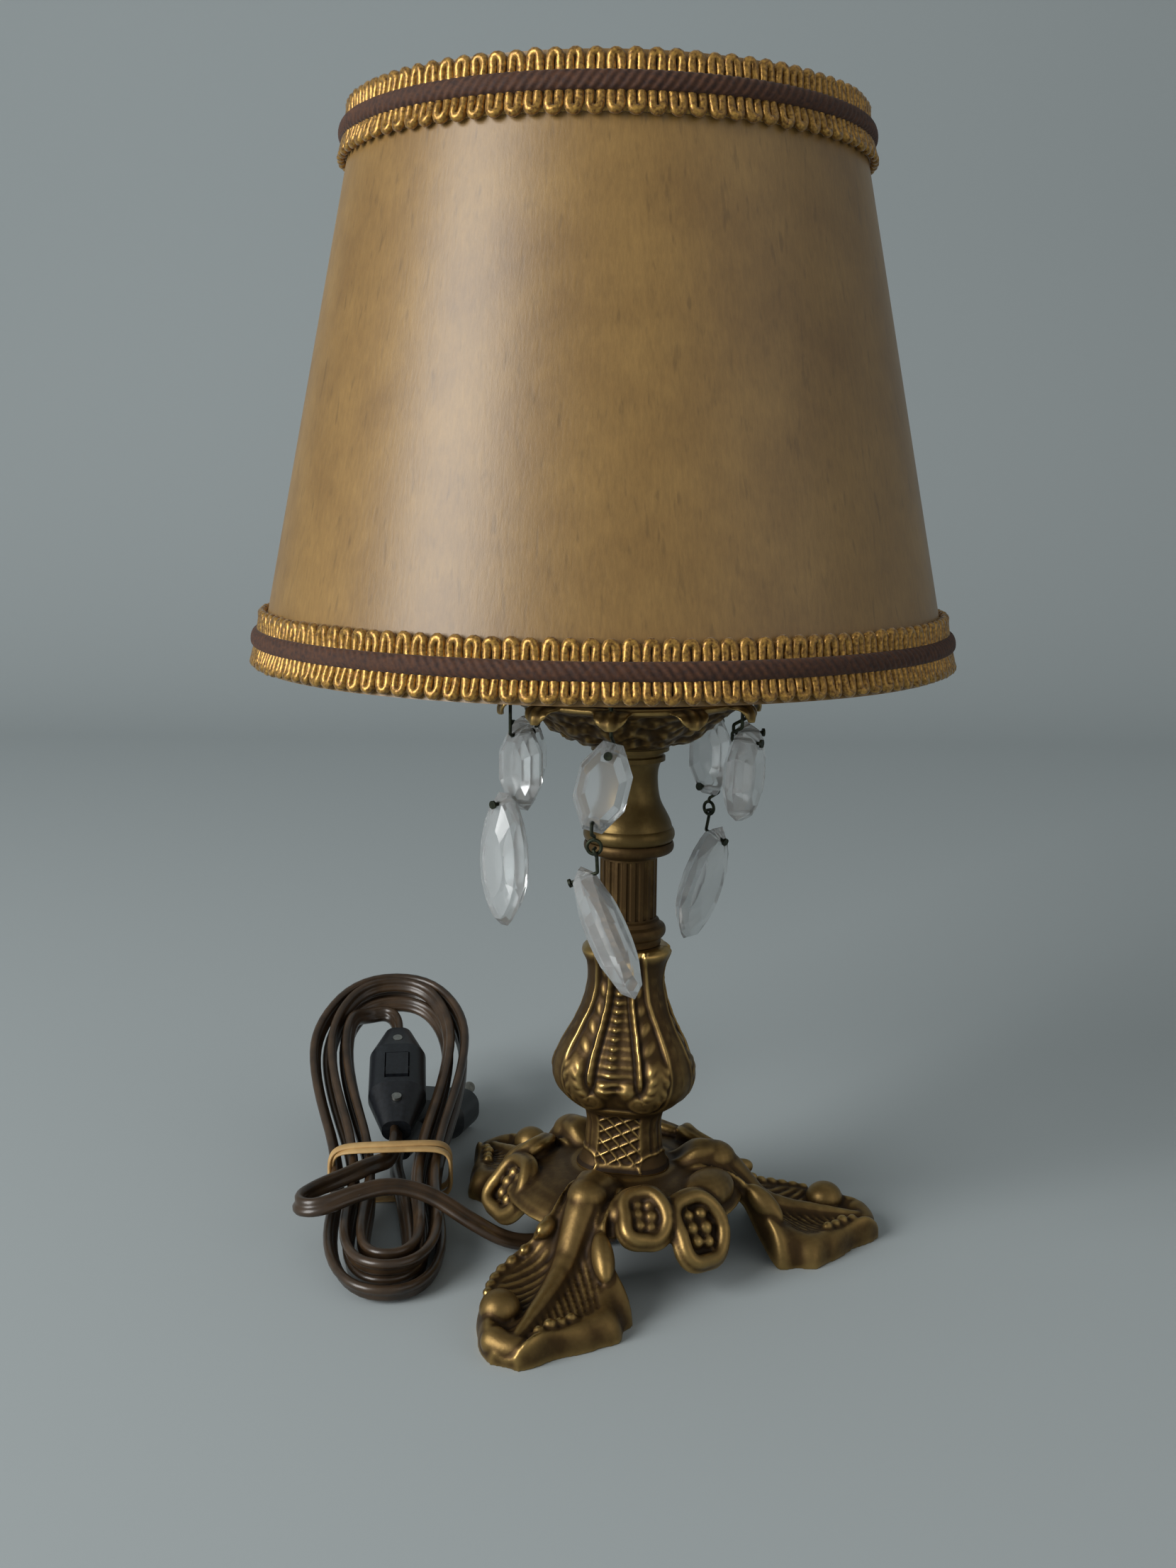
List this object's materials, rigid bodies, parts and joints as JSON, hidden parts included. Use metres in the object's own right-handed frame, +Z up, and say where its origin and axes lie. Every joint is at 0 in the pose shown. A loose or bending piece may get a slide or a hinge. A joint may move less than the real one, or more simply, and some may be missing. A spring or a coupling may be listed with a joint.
{
  "type": "candle lamp with shade",
  "caption": "Table lamp with a cast leaf foot, baluster stem, drip pan hung with crystals, electric candle and a braid-trimmed parchment shade on a bulb clip.",
  "frame": {"origin": "on the table under the middle of the shade; the stem axis stands 7.6 mm to its right, at x = +0.0076", "axes": "+Z up along the stem, -Y to the front, +X to the right"},
  "size_m": [0.1833, 0.1999, 0.3002],
  "materials": {
    "antique_brass": "aged, patinated in the hollows, lightly polished on the high parts",
    "zinc_steel": "zinc plated",
    "sleeve_ivory": "smooth, satin",
    "holder_black": "moulded",
    "contact_brass": "bright pressed sheet",
    "bulb_glass": "clear",
    "parchment": "translucent, faintly mottled",
    "frame_wire": "lacquered wire",
    "gold_braid": "woven metallic thread",
    "brown_braid": "round knitted cord",
    "crystal_wire": "thin pin wire",
    "crystal": "clear cut glass",
    "flex_brown": "semi gloss cable sheath",
    "cord_black": "moulded",
    "plug_pin": "nickel plated",
    "band_rubber": "tan, slightly dusty"
  },
  "bodies": {
    "lamp_stand": {"foot_casting": "antique_brass", "baluster": "antique_brass", "fluted_column": "antique_brass", "vase_neck": "antique_brass", "drip_pan": "antique_brass", "tie_tube": "zinc_steel", "base_washer": "zinc_steel", "base_nut": "zinc_steel", "cord_bush": "holder_black", "inner_flex": "flex_brown", "candle_cup": "antique_brass", "candle_sleeve": "sleeve_ivory", "lampholder_body": "holder_black", "lampholder_shell": "contact_brass", "lampholder_contact": "contact_brass", "flex_lead": "flex_brown", "flex_hank": "flex_brown", "rubber_band": "band_rubber", "switch_top": "cord_black", "switch_bottom": "cord_black", "switch_screws": "zinc_steel", "plug_body": "cord_black", "plug_pins": "plug_pin"},
    "bulb": {"bulb_cap": "contact_brass", "bulb_glass": "bulb_glass", "filament_mount": "bulb_glass"},
    "shade": {"shade_parchment": "parchment", "shade_top_wire": "frame_wire", "shade_bottom_wire": "frame_wire", "shade_spider": "frame_wire", "bulb_clip": "frame_wire", "top_braid": "gold_braid", "top_braid_cord": "brown_braid", "bottom_braid": "gold_braid", "bottom_braid_cord": "brown_braid"},
    "crystal_left": {"crystal_wire_left": "crystal_wire", "octagon_left": "crystal"},
    "crystal_front": {"crystal_wire_front": "crystal_wire", "octagon_front": "crystal"},
    "crystal_right": {"crystal_wire_right": "crystal_wire", "octagon_right": "crystal"},
    "crystal_side": {"crystal_wire_side": "crystal_wire", "octagon_side": "crystal"},
    "crystal_back_right": {"crystal_wire_back_right": "crystal_wire", "octagon_back_right": "crystal"},
    "crystal_back_left": {"crystal_wire_back_left": "crystal_wire", "octagon_back_left": "crystal"},
    "drop_left": {"drop_left": "crystal"},
    "drop_front": {"drop_front": "crystal", "drop_hook_front": "crystal_wire"},
    "drop_back_right": {"drop_back_right": "crystal", "drop_hook_back_right": "crystal_wire"},
    "rocker": {"switch_rocker": "cord_black"}
  },
  "joints": [
    {"name": "bulb_turn", "type": "hinge", "parent": "lamp_stand", "child": "bulb", "pos_m": [0.0076, 0, 0.18], "axis": [0, 0, 1], "continuous": true},
    {"name": "shade_lift", "type": "slide", "parent": "bulb", "child": "shade", "axis": [0, 0, 1], "range_m": [0, 0.15]},
    {"name": "crystal_left_swing", "type": "hinge", "parent": "lamp_stand", "child": "crystal_left", "pos_m": [-0.02399, -0.00444, 0.1542], "axis": [-0.1392, 0.9903, 0], "range_deg": [-5, 15]},
    {"name": "crystal_front_swing", "type": "hinge", "parent": "lamp_stand", "child": "crystal_front", "pos_m": [0.00206, -0.03142, 0.1542], "axis": [-0.9848, 0.1736, 0], "range_deg": [-5, 15]},
    {"name": "crystal_right_swing", "type": "hinge", "parent": "lamp_stand", "child": "crystal_right", "pos_m": [0.03577, -0.01498, 0.1542], "axis": [-0.4695, -0.8829, 0], "range_deg": [-5, 15]},
    {"name": "crystal_side_swing", "type": "hinge", "parent": "lamp_stand", "child": "crystal_side", "pos_m": [0.03919, 0.00444, 0.1542], "axis": [0.1392, -0.9903, 0], "range_deg": [-5, 15]},
    {"name": "crystal_back_right_swing", "type": "hinge", "parent": "lamp_stand", "child": "crystal_back_right", "pos_m": [0.03055, 0.02216, 0.1542], "axis": [0.6947, -0.7193, 0], "range_deg": [-5, 15]},
    {"name": "crystal_back_left_swing", "type": "hinge", "parent": "lamp_stand", "child": "crystal_back_left", "pos_m": [-0.02057, 0.01498, 0.1542], "axis": [0.4695, 0.8829, 0], "range_deg": [-5, 15]},
    {"name": "drop_left_swing", "type": "hinge", "parent": "crystal_left", "child": "drop_left", "pos_m": [-0.0255, -0.00611, 0.1273], "axis": [-0.6691, -0.7431, 0], "range_deg": [-30, 30]},
    {"name": "drop_front_swing", "type": "hinge", "parent": "crystal_front", "child": "drop_front", "pos_m": [-0.00184, -0.03073, 0.12115], "axis": [-0.9848, 0.1736, 0], "range_deg": [-5, 25]},
    {"name": "drop_back_right_swing", "type": "hinge", "parent": "crystal_back_right", "child": "drop_back_right", "pos_m": [0.03055, 0.02216, 0.1207], "axis": [0.6947, -0.7193, 0], "range_deg": [-5, 25]},
    {"name": "rocker_tilt", "type": "hinge", "parent": "lamp_stand", "child": "rocker", "pos_m": [-0.06305, 0.06258, 0.0272], "axis": [-0.995, -0.0995, 0], "range_deg": [-8, 8]}
  ]
}
